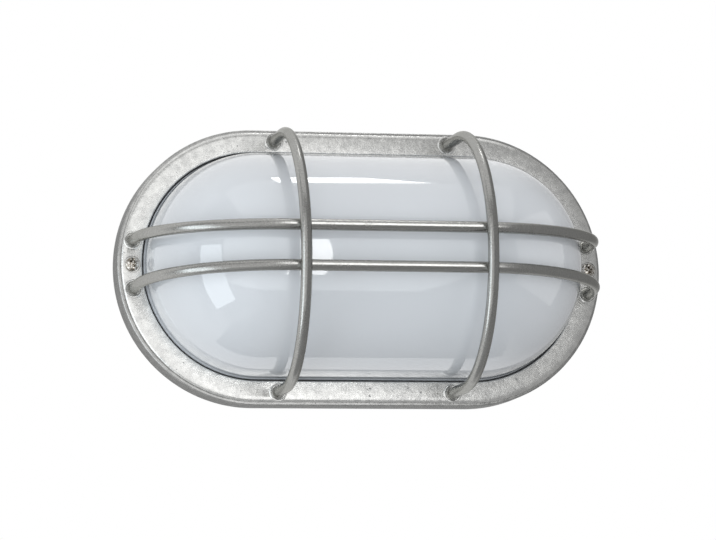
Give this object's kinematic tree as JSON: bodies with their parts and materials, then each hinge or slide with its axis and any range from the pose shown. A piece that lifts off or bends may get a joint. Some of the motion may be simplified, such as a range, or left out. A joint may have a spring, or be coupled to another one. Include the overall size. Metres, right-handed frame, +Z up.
{
  "type": "wall lamp",
  "caption": "Oval cast bulkhead wall lamp: a deep opal glass dome held by a bolted front ring, under a guard of crossing round wires.",
  "frame": {"origin": "centre of the housing's flat back face, on the wall", "axes": "+X along the lamp's long axis, +Y into the wall, +Z up; the dome faces -Y"},
  "size_m": [0.27, 0.106, 0.1506],
  "materials": {
    "cast_aluminium": "matte sand-cast surface with fine pits",
    "guard_steel": "satin drawn wire",
    "opal_glass": "glossy opal white, not see-through",
    "bulb_glass": "satin white bulb with a metal cap, modelled as one solid",
    "black_rubber": "matte",
    "screw_nickel": "bright nickel plate",
    "zinc_steel": "zinc plated",
    "porcelain": "glazed white",
    "shell_nickel": "nickel plated thin sheet",
    "brass": "plain",
    "white_plastic": "matte white moulding"
  },
  "bodies": {
    "root": {"back_housing": "cast_aluminium", "bracket_screw_lower": "zinc_steel", "bracket_screw_upper": "zinc_steel", "bulb": "bulb_glass", "cable_grommet": "black_rubber", "cover_screw_left": "screw_nickel", "cover_screw_right": "screw_nickel", "earth_screw": "zinc_steel", "earth_washer": "brass", "front_frame": "cast_aluminium", "glass_diffuser": "opal_glass", "glass_seal": "black_rubber", "guard_hoop_left": "guard_steel", "guard_hoop_right": "guard_steel", "guard_wire_lower": "guard_steel", "guard_wire_upper": "guard_steel", "holder_screw_lower": "zinc_steel", "holder_screw_upper": "zinc_steel", "lampholder_body": "porcelain", "lampholder_bracket": "zinc_steel", "lampholder_centre_contact": "brass", "lampholder_shell": "shell_nickel", "ledge_seal": "black_rubber", "terminal_block": "white_plastic", "terminal_block_screw": "zinc_steel", "terminal_screw_1": "brass", "terminal_screw_2": "brass", "terminal_screw_3": "brass", "terminal_screw_4": "brass", "terminal_screw_5": "brass", "terminal_screw_6": "brass"}
  },
  "joints": []
}
